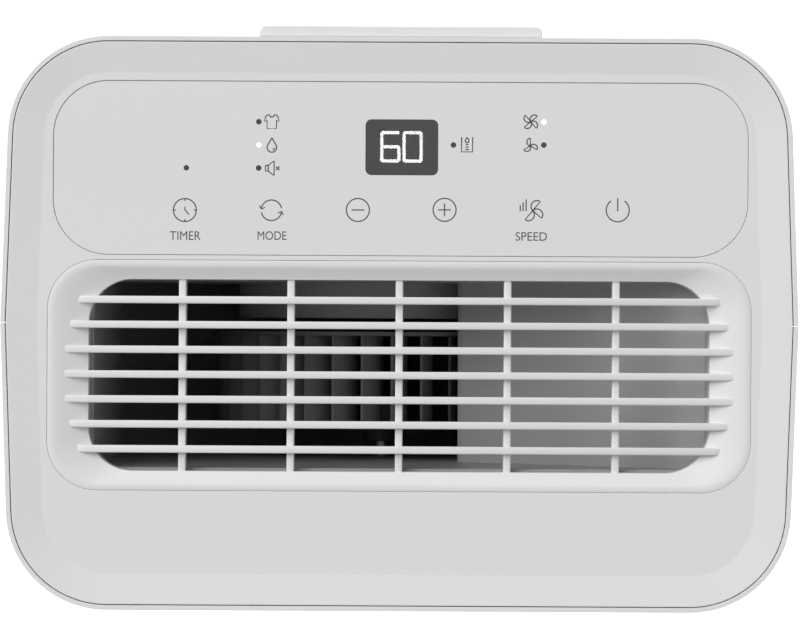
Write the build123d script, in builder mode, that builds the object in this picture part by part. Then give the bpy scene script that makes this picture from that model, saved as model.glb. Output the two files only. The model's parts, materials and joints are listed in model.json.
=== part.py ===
from build123d import *
import math
import os

# Portable dehumidifier, upright casing on castors. All sizes in millimetres.
# Frame: +Z up, -Y towards the user side (front), +Y to the rear, origin on the floor.

# overall casing
SPLIT_HALF_W = 170.0
DRAFT = 2.0
SPLIT_Y = -2.5
FRONT_Y = -124.75
REAR_Y = 119.75
CORNER_R = 43.0
HEIGHT = 500.0
FLAT_Z = 498.5
CASE_BOTTOM = 30.0
LEDGE_Z = 488.0
WALL = 2.5
RIM = 2.0
SEAM = 0.4

# top cover, control panel and air outlet
BORDER_W = 13.0
PLATE = 3.0
PANEL_W = 296.4
PANEL_D = 74.4
PANEL_Y = 63.7
PANEL_R = 23.5
PANEL_T = 1.2
PANEL_TOP = 498.35
OUTLET_W = 299.8
OUTLET_D = 98.0
OUTLET_Y = -24.7
OUTLET_R = 21.0
THROAT_W = 263.2
THROAT_D = 80.8
THROAT_R = 17.8
OUTLET_LIP = 2.5
GRILLE_BOTTOM = 487.5
BAR_TOP = 497.6
BAR_PITCH = 10.62
BAR_W = 3.15
CROSS_PITCH = 46.3
CROSS_W = 3.4
WINDOW_W = 31.0
WINDOW_D = 23.8
WINDOW_X = 0.7
WINDOW_Y = 72.9
WINDOW_R = 2.6
LIGHT_D = 2.3
LIGHTS = [(-91.1, 63.7), (-60.3, 83.5), (-60.3, 73.6), (-60.3, 63.8), (22.7, 74.0), (61.2, 84.0), (61.2, 74.2)]
KEY_Y = 46.2
KEYS_X = [-91.3, -54.4, -17.6, 19.2, 56.3, 92.9]

# water tank and its bay
TANK_HALF_W = 116.0
TANK_FRONT = -121.5
TANK_REAR = -14.0
TANK_BOTTOM = 38.0
TANK_TOP = 210.0
TANK_WALL = 2.0
FACE_HALF_W = 120.0
FACE_BOTTOM = 36.6
FACE_TOP = 217.4
GRIP_HALF_W = 50.0
GRIP_Z = (174.0, 204.0)
GRIP_DEPTH = 24.0

# blower
FAN_X = -8.0
FAN_Z = 335.0
FAN_R = 80.0
SCROLL_START_R = 90.0
SCROLL_END_R = 123.0
TONGUE_ANGLE = 67.6
SCROLL_FRONT = -64.5
SCROLL_REAR = 16.0
SCROLL_TOP = 487.1
SHAFT_R = 4.0

# refrigeration
COIL_ROWS = 8
COIL_PITCH = 24.0
COIL_Z = 262.0
COIL_HALF_W = 118.0
TUBE_R = 4.0
TUBE_BORE = 3.4
EVAPORATOR_Y = 75.0
CONDENSER_Y = 36.0
COMP_X = 88.0
COMP_Y = 57.0
COMP_R = 56.0

# castors
CASTOR_X = 134.0
CASTOR_Y = 85.0
WHEEL_R = 11.0
TRAIL = 9.0

# carry handle, intake grille
HANDLE_HALF_W = 60.5
HANDLE_REAR = 124.75
HANDLE_PIVOT = (113.5, 438.0)
HANDLE_Z = (434.0, 496.0)
HANDLE_GAP = (446.0, 476.0)
INTAKE_HALF_W = 118.0
INTAKE_Z = (236.5, 384.0)
INTAKE_HINGE = (117.0, 240.0)


def block(x, y, z, mode=Mode.ADD):
    """Box spanning the given pairs of limits along X, Y and Z."""
    with Locations(((x[0] + x[1]) / 2, (y[0] + y[1]) / 2, (z[0] + z[1]) / 2)):
        Box(x[1] - x[0], y[1] - y[0], z[1] - z[0], mode=mode)


def rod_z(x, y, z, r, mode=Mode.ADD):
    """Upright round bar at x, y between two heights."""
    with Locations((x, y, (z[0] + z[1]) / 2)):
        Cylinder(r, z[1] - z[0], mode=mode)


def rod_y(x, y, z, r, mode=Mode.ADD):
    """Round bar along Y at x, z between two Y positions."""
    with Locations(Location((x, (y[0] + y[1]) / 2, z), (90, 0, 0))):
        Cylinder(r, y[1] - y[0], mode=mode)


def rod_x(x, y, z, r, mode=Mode.ADD):
    """Round bar along X at y, z between two X positions."""
    with Locations(Location(((x[0] + x[1]) / 2, y, z), (0, 90, 0))):
        Cylinder(r, x[1] - x[0], mode=mode)


def save(part, name):
    """Label a finished piece and write it to its own file."""
    part.label = name
    export_step(part, f"parts/{name}.step")


os.makedirs("parts", exist_ok=True)

# ---- plan of the drafted casing
slope = math.tan(math.radians(DRAFT))
FRONT_HALF_W = SPLIT_HALF_W - (SPLIT_Y - FRONT_Y) * slope
REAR_HALF_W = SPLIT_HALF_W - (REAR_Y - SPLIT_Y) * slope
with BuildSketch() as plan:
    with BuildLine():
        Polyline(
            (SPLIT_HALF_W, SPLIT_Y),
            (REAR_HALF_W, REAR_Y),
            (-REAR_HALF_W, REAR_Y),
            (-SPLIT_HALF_W, SPLIT_Y),
            (-FRONT_HALF_W, FRONT_Y),
            (FRONT_HALF_W, FRONT_Y),
            close=True,
        )
    make_face()
    corners = plan.vertices().filter_by(lambda v: abs(v.X) < SPLIT_HALF_W - 1)
    fillet(corners, CORNER_R)

# ---- casing halves
with BuildPart() as casing_ring:
    with BuildSketch(Plane.XY.offset(CASE_BOTTOM)):
        add(plan.sketch)
        offset(plan.sketch, amount=-WALL, mode=Mode.SUBTRACT)
    extrude(amount=LEDGE_Z - CASE_BOTTOM)
    with BuildSketch(Plane.XY.offset(LEDGE_Z)):
        add(plan.sketch)
        offset(plan.sketch, amount=-RIM, mode=Mode.SUBTRACT)
    extrude(amount=HEIGHT - LEDGE_Z)

with BuildPart() as front_casing:
    add(casing_ring.part)
    block((-200, 200), (SPLIT_Y - 0.15, 200), (0, 520), Mode.SUBTRACT)
    with BuildSketch(Plane.XZ.offset(110)):
        with Locations((0, (FACE_BOTTOM + FACE_TOP) / 2)):
            RectangleRounded(2 * FACE_HALF_W + 1.2, FACE_TOP - FACE_BOTTOM + 1.2, 10.6)
    extrude(amount=20, mode=Mode.SUBTRACT)
save(front_casing.part, "front_casing")

SCREW_SPOTS = [(-106, 452), (106, 452), (-116, 222), (116, 222), (-16, 62), (16, 62)]
HOSE_X = -80.0
HOSE_Z = 208.0
CORD_SPOT = (-112.0, 92.0)
with BuildPart() as rear_casing:
    add(casing_ring.part)
    block((-200, 200), (-200, SPLIT_Y + 0.15), (0, 520), Mode.SUBTRACT)
    # handle pocket
    block((-67, 67), (102, REAR_Y - 0.5), (422, 486))
    block((-64, 64), (104, REAR_Y + 1), (424, 484), Mode.SUBTRACT)
    rod_x((-70, 70), HANDLE_PIVOT[0], HANDLE_PIVOT[1], 3.05, Mode.SUBTRACT)
    # intake opening
    with BuildSketch(Plane.XZ.offset(-125)):
        with Locations((0, (INTAKE_Z[0] + INTAKE_Z[1]) / 2)):
            RectangleRounded(2 * INTAKE_HALF_W + 1.6, INTAKE_Z[1] - INTAKE_Z[0] + 3.0, 5)
    extrude(amount=10, mode=Mode.SUBTRACT)
    for side in (-1, 1):
        limits = sorted((side * (INTAKE_HALF_W + 1.0), side * (INTAKE_HALF_W + 4.0)))
        block(limits, (111, REAR_Y - 1), (235, 246))
    rod_x((-125, 125), INTAKE_HINGE[0] - 1.5, INTAKE_HINGE[1], 2.05, Mode.SUBTRACT)
    # hose recess around the drain spigot
    block((HOSE_X - 24, HOSE_X + 24), (100, REAR_Y - 0.5), (HOSE_Z - 22, HOSE_Z + 22))
    block((HOSE_X - 22, HOSE_X + 22), (102, REAR_Y + 1), (HOSE_Z - 20, HOSE_Z + 20), Mode.SUBTRACT)
    rod_y(HOSE_X, (95, 105), HOSE_Z, 10.2, Mode.SUBTRACT)
    # cord gland hole
    rod_y(CORD_SPOT[0], (110, 125), CORD_SPOT[1], 10.0, Mode.SUBTRACT)
    # screw bosses
    for x, z in SCREW_SPOTS:
        rod_y(x, (104, REAR_Y - 1), z, 6.0)
        rod_y(x, (REAR_Y - 2.6, REAR_Y + 1), z, 4.6, Mode.SUBTRACT)
        rod_y(x, (100, REAR_Y), z, 1.9, Mode.SUBTRACT)
save(rear_casing.part, "rear_casing")

with BuildPart() as casing_screws:
    for x, z in SCREW_SPOTS:
        rod_y(x, (REAR_Y - 2.4, REAR_Y - 0.4), z, 4.2)
        rod_y(x, (101, REAR_Y - 2.4), z, 1.85)
        with Locations(Location((x, REAR_Y - 0.9, z), (90, 0, 0))):
            Box(4.6, 1.0, 1.4, mode=Mode.SUBTRACT)
            Box(1.0, 4.6, 1.4, mode=Mode.SUBTRACT)
save(casing_screws.part, "casing_screws")

# ---- top cover
with BuildPart() as top_cover:
    with BuildSketch(Plane.XY.offset(LEDGE_Z + 0.2)):
        offset(plan.sketch, amount=-(RIM + SEAM))
    extrude(amount=HEIGHT - LEDGE_Z - 0.2)
    # the border rises softly from the flat middle to the rim
    with BuildSketch(Plane.XY.offset(FLAT_Z)):
        offset(plan.sketch, amount=-(RIM + SEAM + BORDER_W))
    with BuildSketch(Plane.XY.offset(HEIGHT)):
        offset(plan.sketch, amount=-(RIM + SEAM + 0.6))
    loft(ruled=True, mode=Mode.SUBTRACT)
    with BuildSketch(Plane.XY.offset(LEDGE_Z)):
        offset(plan.sketch, amount=-(RIM + SEAM + 2.2))
    extrude(amount=FLAT_Z - PLATE - LEDGE_Z, mode=Mode.SUBTRACT)
    # pocket of the control panel, display and light openings
    with BuildSketch(Plane.XY.offset(PANEL_TOP - PANEL_T)):
        with Locations((0.3, PANEL_Y)):
            RectangleRounded(PANEL_W, PANEL_D, PANEL_R)
    extrude(amount=5, mode=Mode.SUBTRACT)
    block((WINDOW_X - 17, WINDOW_X + 17), (WINDOW_Y - 13.5, WINDOW_Y + 13.5), (490, 505), Mode.SUBTRACT)
    for x, y in LIGHTS:
        rod_z(x, y, (490, 505), 1.5, Mode.SUBTRACT)
    # opening of the outlet grille
    with BuildSketch(Plane.XY.offset(480)):
        with Locations((0, OUTLET_Y)):
            RectangleRounded(OUTLET_W + 0.4, OUTLET_D + 0.4, OUTLET_R + 0.2)
    extrude(amount=30, mode=Mode.SUBTRACT)
save(top_cover.part, "top_cover")

with BuildPart() as control_panel:
    with BuildSketch(Plane.XY.offset(PANEL_TOP - PANEL_T)):
        with Locations((0.3, PANEL_Y)):
            RectangleRounded(PANEL_W - 0.6, PANEL_D - 0.6, PANEL_R - 0.3)
        with Locations((WINDOW_X, WINDOW_Y)):
            RectangleRounded(WINDOW_W, WINDOW_D, WINDOW_R, mode=Mode.SUBTRACT)
        with Locations(*LIGHTS):
            Circle(LIGHT_D / 2 + 0.05, mode=Mode.SUBTRACT)
    extrude(amount=PANEL_T)
save(control_panel.part, "control_panel")

with BuildPart() as display_window:
    with BuildSketch(Plane.XY.offset(PANEL_TOP - PANEL_T)):
        with Locations((WINDOW_X, WINDOW_Y)):
            RectangleRounded(WINDOW_W - 0.2, WINDOW_D - 0.2, WINDOW_R - 0.1)
    extrude(amount=PANEL_T)
save(display_window.part, "display_window")

# ---- outlet grille: dish with cross bars below long bars
DISH = [(0.0, 0.0, FLAT_Z), (5.0, 2.2, BAR_TOP), (15.2, 5.8, 494.2)]
DISH_W = OUTLET_W - 2 * OUTLET_LIP
DISH_D = OUTLET_D - 2 * OUTLET_LIP
with BuildPart() as dish_cut:
    for x_in, y_in, z in DISH:
        with BuildSketch(Plane.XY.offset(z)):
            with Locations((0, OUTLET_Y)):
                RectangleRounded(DISH_W - 2 * x_in, DISH_D - 2 * y_in, THROAT_R + 1.4)
    loft(ruled=True)
    with BuildSketch(Plane.XY.offset(483.5)):
        with Locations((0.3, OUTLET_Y)):
            RectangleRounded(THROAT_W, THROAT_D, THROAT_R)
    extrude(amount=11)

with BuildPart() as outlet_grille:
    with BuildSketch(Plane.XY.offset(GRILLE_BOTTOM)):
        with Locations((0, OUTLET_Y)):
            RectangleRounded(OUTLET_W, OUTLET_D, OUTLET_R)
    extrude(amount=FLAT_Z - GRILLE_BOTTOM)
    add(dish_cut.part, mode=Mode.SUBTRACT)
    for k in range(-3, 4):
        reach = 142.6 if abs(k) < 2 else (140.2 if abs(k) == 2 else 137.4)
        y = OUTLET_Y + 0.3 + k * BAR_PITCH
        block((-reach, reach), (y - BAR_W / 2, y + BAR_W / 2), (BAR_TOP - 4.2, BAR_TOP))
    for k in range(-2, 3):
        x = k * CROSS_PITCH
        block((x - CROSS_W / 2, x + CROSS_W / 2), (OUTLET_Y - 41.5, OUTLET_Y + 41.5), (GRILLE_BOTTOM + 0.5, BAR_TOP - 3.4))
save(outlet_grille.part, "outlet_grille")

# ---- display electronics
with BuildPart() as digit_display:
    block((WINDOW_X - 16, WINDOW_X + 16), (WINDOW_Y - 12.5, WINDOW_Y + 12.5), (487.6, 496.7))
save(digit_display.part, "digit_display")

DIGITS = {"6": "acdefg", "0": "abcdef"}
DIGIT_H = 13.4
DIGIT_W = 8.6
SEG = 1.3
with BuildPart() as lit_segments:
    for x0, lit in ((-4.9, DIGITS["6"]), (4.6, DIGITS["0"])):
        half_h = DIGIT_H / 2 - SEG / 2
        half_w = DIGIT_W / 2 - SEG / 2
        bars = {
            "a": (0, half_h, True),
            "g": (0, 0, True),
            "d": (0, -half_h, True),
            "b": (half_w, half_h / 2, False),
            "c": (half_w, -half_h / 2, False),
            "e": (-half_w, -half_h / 2, False),
            "f": (-half_w, half_h / 2, False),
        }
        for key in lit:
            dx, dy, level = bars[key]
            length = 2 * half_w - 0.4 if level else half_h - 0.4
            with BuildSketch(Plane.XY.offset(496.7)):
                with Locations((WINDOW_X + x0, WINDOW_Y + 0.3)):
                    with Locations(Location((dx, dy, 0), (0, 0, 0 if level else 90))):
                        SlotCenterToCenter(length - SEG + 0.8, SEG)
            extrude(amount=0.3)
save(lit_segments.part, "lit_segments")

with BuildPart() as display_board:
    block((-140, 140), (30, 98), (485.4, 487.0))
save(display_board.part, "display_board")

with BuildPart() as light_guides:
    for x, y in LIGHTS:
        rod_z(x, y, (487.0, PANEL_TOP - 0.05), LIGHT_D / 2)
save(light_guides.part, "light_guides")

with BuildPart() as touch_springs:
    with BuildLine() as coil:
        Helix(pitch=1.8, height=7.8, radius=3.4, center=(KEYS_X[0], KEY_Y, 487.3))
    coil_wire = coil.wire()
    with BuildSketch(Plane(origin=coil_wire @ 0, z_dir=coil_wire % 0)):
        Circle(0.25)
    sweep(path=coil_wire)
    first = touch_springs.part
    for x in KEYS_X[1:]:
        with Locations((x - KEYS_X[0], 0, 0)):
            add(first)
save(touch_springs.part, "touch_springs")

# ---- base pan
GROMMETS = [(COMP_X + 46 * math.cos(a), COMP_Y + 46 * math.sin(a)) for a in (math.pi / 2, math.pi * 7 / 6, -math.pi / 6)]
CASTORS = {"fl": (-CASTOR_X, -CASTOR_Y), "fr": (CASTOR_X, -CASTOR_Y), "rl": (-CASTOR_X, CASTOR_Y), "rr": (CASTOR_X, CASTOR_Y)}
with BuildPart() as base_pan:
    with BuildSketch(Plane.XY.offset(28)):
        offset(plan.sketch, amount=-(WALL + 0.3))
    extrude(amount=3)
    with BuildSketch(Plane.XY.offset(31)):
        offset(plan.sketch, amount=-(WALL + 0.3))
        offset(plan.sketch, amount=-(WALL + 2.3), mode=Mode.SUBTRACT)
    extrude(amount=4)
    for x in (-82, 82):
        block((x - 2, x + 2), (-116, -14), (31, 37.8))
    for x, y in CASTORS.values():
        rod_z(x, y, (28, 40), 7)
        rod_z(x, y, (20, 45), 4.05, Mode.SUBTRACT)
    for x, y in GROMMETS:
        rod_z(x, y, (31, 49.4), 3.9)
save(base_pan.part, "base_pan")

# ---- castors: swivel body with its own axle stubs, and a pair of wheels
for tag, (x, y) in CASTORS.items():
    with BuildPart() as castor:
        rod_z(x, y, (26.5, 40), 4.0)
        rod_z(x, y, (23, 27.6), 13)
        block((x - 2.5, x + 2.5), (y - 6, y + TRAIL + 5), (8, 24))
        rod_x((x - 8.4, x + 8.4), y + TRAIL, WHEEL_R, 2.0)
    save(castor.part, f"castor_body_{tag}")
    with BuildPart() as wheels:
        for side in (-1, 1):
            rod_x(sorted((x + side * 3.0, x + side * 10.0)), y + TRAIL, WHEEL_R, WHEEL_R)
            rod_x(sorted((x + side * 2.0, x + side * 8.6)), y + TRAIL, WHEEL_R, 2.05, Mode.SUBTRACT)
        chamfer(wheels.edges().filter_by(GeomType.CIRCLE).filter_by(lambda e: e.radius > 10), 0.8)
    save(wheels.part, f"castor_wheels_{tag}")

# ---- tank bay partition
SPOUT = (-92.0, -34.0)
with BuildPart() as bay_partition:
    block((-150, 150), (-10, -8), (31, 219))
    block((-136, 136), (-118, -10), (217.9, 219.9))
    for side in (-1, 1):
        block(sorted((side * 118.5, side * 120.3)), (-119, -10), (36, 217.9))
    rod_z(SPOUT[0], SPOUT[1], (210, 225), 8.2, Mode.SUBTRACT)
save(bay_partition.part, "bay_partition")

with BuildPart() as tank_sensor:
    block((76, 94), (-8, -2), (172, 190))
save(tank_sensor.part, "tank_sensor")

# ---- water tank
NOTCH_HALF_W = GRIP_HALF_W + 4
NOTCH_REAR = FRONT_Y + GRIP_DEPTH + 5
with BuildPart() as tank_space:
    block((-TANK_HALF_W + TANK_WALL, TANK_HALF_W - TANK_WALL), (TANK_FRONT + TANK_WALL, TANK_REAR - TANK_WALL),
          (TANK_BOTTOM + TANK_WALL, TANK_TOP + 1))
    fillet(tank_space.edges().filter_by(Axis.Z), 8)
    block((-NOTCH_HALF_W - TANK_WALL, NOTCH_HALF_W + TANK_WALL), (TANK_FRONT, NOTCH_REAR + TANK_WALL),
          (GRIP_Z[0] - 6 - TANK_WALL, TANK_TOP + 2), Mode.SUBTRACT)
with BuildPart() as tank:
    block((-TANK_HALF_W, TANK_HALF_W), (TANK_FRONT, TANK_REAR), (TANK_BOTTOM, TANK_TOP))
    fillet(tank.edges().filter_by(Axis.Z), 10)
    block((-NOTCH_HALF_W, NOTCH_HALF_W), (TANK_FRONT - 1, NOTCH_REAR), (GRIP_Z[0] - 6, TANK_TOP + 1), Mode.SUBTRACT)
    add(tank_space.part, mode=Mode.SUBTRACT)
    # ears and pin that carry the float
    for x in (66, 102):
        block((x, x + 3), (-27, -15.5), (190, 203))
    rod_x((67, 104), -21, 196, 2.0)
save(tank.part, "tank")

with BuildPart() as tank_lid:
    with BuildSketch(Plane.XY.offset(TANK_TOP)):
        with Locations((0, (TANK_FRONT + TANK_REAR) / 2)):
            RectangleRounded(2 * TANK_HALF_W, TANK_REAR - TANK_FRONT, 10)
        with Locations((0, NOTCH_REAR / 2 - 80)):
            Rectangle(2 * NOTCH_HALF_W, NOTCH_REAR + 160, mode=Mode.SUBTRACT)
        with Locations((SPOUT[0] + 4, SPOUT[1])):
            RectangleRounded(36, 30, 5, mode=Mode.SUBTRACT)
    extrude(amount=2.5)
save(tank_lid.part, "tank_lid")

with BuildPart() as tank_front:
    with BuildSketch(Plane.XZ.offset(-FRONT_Y - 3)):
        with Locations((0, (FACE_BOTTOM + FACE_TOP) / 2)):
            RectangleRounded(2 * FACE_HALF_W, FACE_TOP - FACE_BOTTOM, 10)
    extrude(amount=3)
    block((-GRIP_HALF_W - 2, GRIP_HALF_W + 2), (FRONT_Y + 3, FRONT_Y + GRIP_DEPTH + 2), (GRIP_Z[0] - 2, GRIP_Z[1] + 2))
    with BuildSketch(Plane.XZ.offset(-FRONT_Y - GRIP_DEPTH)):
        with Locations((0, sum(GRIP_Z) / 2)):
            RectangleRounded(2 * GRIP_HALF_W, GRIP_Z[1] - GRIP_Z[0], 8)
    extrude(amount=GRIP_DEPTH + 1, mode=Mode.SUBTRACT)
    block((-5, 5), (FRONT_Y - 1, FRONT_Y + 3.1), (58, 150), Mode.SUBTRACT)
save(tank_front.part, "tank_front")

with BuildPart() as level_window:
    block((-4.9, 4.9), (FRONT_Y + 0.3, FRONT_Y + 3.0), (58.1, 149.9))
save(level_window.part, "level_window")

with BuildPart() as float_arm:
    rod_x((70, 101), -21, 196, 4.5)
    block((70, 101), (-44, -21), (193.5, 198.5))
    block((70, 101), (-62, -40), (176, 198.5))
    rod_x((69, 102), -21, 196, 2.05, Mode.SUBTRACT)
    rod_y(85.5, (-63, -54), 186, 3.0, Mode.SUBTRACT)
save(float_arm.part, "float_arm")

with BuildPart() as float_magnet:
    rod_y(85.5, (-60.5, -54), 186, 3.0)
save(float_magnet.part, "float_magnet")

# ---- drain tray, spigot and plug
with BuildPart() as drain_tray:
    block((-126, 126), (20, 96), (232, 246))
    block((-124, 124), (22, 94), (234, 247), Mode.SUBTRACT)
    # chute and spout over the tank
    block((-105, -79), (SPOUT[1] - 10, 21), (228, 240))
    block((-103, -81), (SPOUT[1] - 8, 30), (230, 241), Mode.SUBTRACT)
    rod_z(SPOUT[0], SPOUT[1], (214.5, 228.5), 7.0)
    rod_z(SPOUT[0], SPOUT[1], (214, 231), 5.5, Mode.SUBTRACT)
    # sump feeding the hose spigot
    block((HOSE_X - 11, HOSE_X + 11), (78, 96), (HOSE_Z - 10, 233))
    block((HOSE_X - 9, HOSE_X + 9), (80, 94), (HOSE_Z - 8, 235), Mode.SUBTRACT)
    rod_y(HOSE_X, (90, 98), HOSE_Z, 7.9, Mode.SUBTRACT)
save(drain_tray.part, "drain_tray")

with BuildPart() as drain_spigot:
    rod_y(HOSE_X, (94, 96), HOSE_Z, 7.9)
    rod_y(HOSE_X, (96, 102), HOSE_Z, 10.0)
    rod_y(HOSE_X, (102, 118.5), HOSE_Z, 8.0)
    rod_y(HOSE_X, (93, 120), HOSE_Z, 5.5, Mode.SUBTRACT)
save(drain_spigot.part, "drain_spigot")

with BuildPart() as drain_plug:
    rod_y(HOSE_X, (106, 118.5), HOSE_Z, 5.42)
    rod_y(HOSE_X, (118.6, 120.2), HOSE_Z, 7.0)
    rod_y(HOSE_X, (118.4, 118.7), HOSE_Z, 5.42)
save(drain_plug.part, "drain_plug")

with BuildPart() as cord_gland:
    rod_y(CORD_SPOT[0], (106, REAR_Y), CORD_SPOT[1], 9.9)
    rod_y(CORD_SPOT[0], (105, 121), CORD_SPOT[1], 4.0, Mode.SUBTRACT)
save(cord_gland.part, "cord_gland")

# ---- scroll casing
TURN = TONGUE_ANGLE + 180
STEPS = 12


def spiral_point(k, out):
    """Point k of the scroll wall, moved outwards by out."""
    angle = math.radians(TONGUE_ANGLE - TURN * k / STEPS)
    r = SCROLL_START_R + (SCROLL_END_R - SCROLL_START_R) * k / STEPS + out
    return (FAN_X + r * math.cos(angle), FAN_Z + r * math.sin(angle))


tongue = spiral_point(0, 0)
RIGHT_X = THROAT_W / 2 + 0.3
RAMP_Z = SCROLL_TOP - 4
OVER = SCROLL_TOP + 8
with BuildSketch(Plane.XZ) as air_path:
    with BuildLine():
        Spline(*[spiral_point(k, 0) for k in range(STEPS + 1)])
        Polyline(spiral_point(STEPS, 0), (spiral_point(STEPS, 0)[0], OVER), (RIGHT_X, OVER), (RIGHT_X, RAMP_Z), tongue)
    make_face()
with BuildSketch(Plane.XZ) as scroll_skin:
    with BuildLine():
        tip = (tongue[0] + 4.2, tongue[1] + 0.4)
        Spline(tip, *[spiral_point(k, 2) for k in range(1, STEPS + 1)])
        left = spiral_point(STEPS, 2)
        Polyline(left, (left[0], OVER), (RIGHT_X + 2, OVER), (RIGHT_X + 2, RAMP_Z - 1), tip)
    make_face()

for name, near, far, plate in (("scroll_rear", SCROLL_REAR + 2, -25.0, SCROLL_REAR),
                               ("scroll_front", -25.0, SCROLL_FRONT - 2, SCROLL_FRONT)):
    with BuildPart() as scroll:
        with BuildSketch(Plane.XZ.offset(-near)):
            add(scroll_skin.sketch_local)
        extrude(amount=near - far)
        inner_near = min(near, plate) if name == "scroll_rear" else near
        inner_far = far if name == "scroll_rear" else plate
        with BuildSketch(Plane.XZ.offset(-inner_near)):
            add(air_path.sketch_local)
        extrude(amount=inner_near - inner_far, mode=Mode.SUBTRACT)
        block((-200, 200), (-100, 50), (SCROLL_TOP, 520), Mode.SUBTRACT)
        if name == "scroll_rear":
            rod_y(FAN_X, (0, SCROLL_REAR + 1), FAN_Z, 68)
            rod_y(FAN_X, (-1, SCROLL_REAR + 3), FAN_Z, 66, Mode.SUBTRACT)
        else:
            rod_y(FAN_X, (-70, -60), FAN_Z, 14, Mode.SUBTRACT)
    save(scroll.part, name)

with BuildPart() as fan_motor:
    rod_y(FAN_X, (-106, SCROLL_FRONT - 2), FAN_Z, 36)
    rod_y(FAN_X, (-69, SCROLL_FRONT - 2), FAN_Z, 44)
    rod_y(FAN_X, (-110, -60), FAN_Z, SHAFT_R + 0.05, Mode.SUBTRACT)
    rod_y(FAN_X, (-71, -60), FAN_Z, 14, Mode.SUBTRACT)
save(fan_motor.part, "fan_motor")

with BuildPart() as fan_shaft:
    rod_y(FAN_X, (-112, -38), FAN_Z, SHAFT_R)
save(fan_shaft.part, "fan_shaft")

BLADES = 36
BLADE_BOW = [(66.0, 0.0), (70.0, 1.0), (74.0, 3.2), (77.5, 6.5)]


def blade_outline(turn_deg):
    """Corners of one forward-curved blade, turned about the wheel's axis."""
    corners = []
    for side, bow in ((-0.6, BLADE_BOW), (0.6, BLADE_BOW[::-1])):
        for r, lead in bow:
            angle = math.radians(turn_deg + lead) + side / r
            corners.append((FAN_X + r * math.cos(angle), FAN_Z + r * math.sin(angle)))
    return corners


with BuildPart() as blower_wheel:
    rod_y(FAN_X, (-50, -48), FAN_Z, FAN_R)
    rod_y(FAN_X, (-58, -38), FAN_Z, 9)
    rod_y(FAN_X, (-60, -36), FAN_Z, SHAFT_R, Mode.SUBTRACT)
    with BuildSketch(Plane.XZ.offset(6)):
        with Locations((FAN_X, FAN_Z)):
            Circle(FAN_R)
            Circle(FAN_R - 5, mode=Mode.SUBTRACT)
    extrude(amount=2)
    with BuildSketch(Plane.XZ.offset(7)):
        for k in range(BLADES):
            with BuildLine():
                Polyline(*blade_outline(360.0 * k / BLADES), close=True)
            make_face()
    extrude(amount=42)
save(blower_wheel.part, "blower_wheel")

# ---- coils
rows = [COIL_Z + k * COIL_PITCH for k in range(COIL_ROWS)]


def serpentine(y):
    """Tube centre line running through all rows of one coil."""
    for k, z in enumerate(rows):
        ends = (COIL_HALF_W, -COIL_HALF_W) if k % 2 == 0 else (-COIL_HALF_W, COIL_HALF_W)
        Line((ends[0], y, z), (ends[1], y, z))
        if k < len(rows) - 1:
            reach = ends[1] + math.copysign(COIL_PITCH / 2, ends[1])
            ThreePointArc((ends[1], y, z), (reach, y, z + COIL_PITCH / 2), (ends[1], y, z + COIL_PITCH))


for name, y, depth in (("evaporator", EVAPORATOR_Y, 32.0), ("condenser", CONDENSER_Y, 28.0)):
    with BuildPart() as tube:
        with BuildLine() as path:
            serpentine(y)
        wire = path.wire()
        with BuildSketch(Plane(origin=wire @ 0, z_dir=wire % 0)):
            Circle(TUBE_R)
            Circle(TUBE_BORE, mode=Mode.SUBTRACT)
        sweep(path=wire)
    save(tube.part, f"{name}_tube")
    with BuildPart() as fins:
        fin_planes = [Plane.YZ.offset(-110.25 + 5 * k) for k in range(45)]
        with BuildSketch(*fin_planes):
            with Locations((y, (rows[0] + rows[-1]) / 2)):
                Rectangle(depth, 194)
            with Locations(*[(y, z) for z in rows]):
                Circle(TUBE_R + 0.01, mode=Mode.SUBTRACT)
        extrude(amount=0.5)
    save(fins.part, f"{name}_fins")

with BuildPart() as coil_frame:
    for side in (-1, 1):
        block(sorted((side * 113, side * 114.5)), (20.5, 93), (247, 446))
    block((-114.5, 114.5), (20.5, 93), (446, 447.5))
    for y in (EVAPORATOR_Y, CONDENSER_Y):
        for z in rows:
            rod_x((-120, 120), y, z, TUBE_R + 0.3, Mode.SUBTRACT)
save(coil_frame.part, "coil_frame")

with BuildPart() as humidity_sensor:
    block((-132, -118), (97, 103), (300, 322))
save(humidity_sensor.part, "humidity_sensor")

# ---- compressor
with BuildPart() as compressor_hollow:
    rod_z(COMP_X, COMP_Y, (52, 209), COMP_R - 3)
    fillet(compressor_hollow.edges().filter_by(GeomType.CIRCLE), 13)

with BuildPart() as compressor_shell:
    rod_z(COMP_X, COMP_Y, (49, 212), COMP_R)
    fillet(compressor_shell.edges().filter_by(GeomType.CIRCLE), 16)
    add(compressor_hollow.part, mode=Mode.SUBTRACT)
    rod_z(COMP_X, COMP_Y, (46, 49.5), 54)
    for x, y in GROMMETS:
        rod_z(x, y, (45, 50), 4.0, Mode.SUBTRACT)
save(compressor_shell.part, "compressor_shell")

with BuildPart() as compressor_stator:
    rod_z(COMP_X, COMP_Y, (130, 190), COMP_R - 3.0)
    rod_z(COMP_X, COMP_Y, (129, 191), 30, Mode.SUBTRACT)
save(compressor_stator.part, "compressor_stator")

with BuildPart() as compressor_pump:
    rod_z(COMP_X, COMP_Y, (80, 108), COMP_R - 3.0)
    rod_z(COMP_X, COMP_Y, (79, 109), 8.05, Mode.SUBTRACT)
save(compressor_pump.part, "compressor_pump")

with BuildPart() as compressor_rotor:
    rod_z(COMP_X, COMP_Y, (132, 188), 29.6)
    rod_z(COMP_X, COMP_Y, (72, 196), 8.0)
save(compressor_rotor.part, "compressor_rotor")

with BuildPart() as compressor_grommets:
    for x, y in GROMMETS:
        rod_z(x, y, (31, 46), 9)
        rod_z(x, y, (30, 47), 3.9, Mode.SUBTRACT)
save(compressor_grommets.part, "compressor_grommets")

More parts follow.
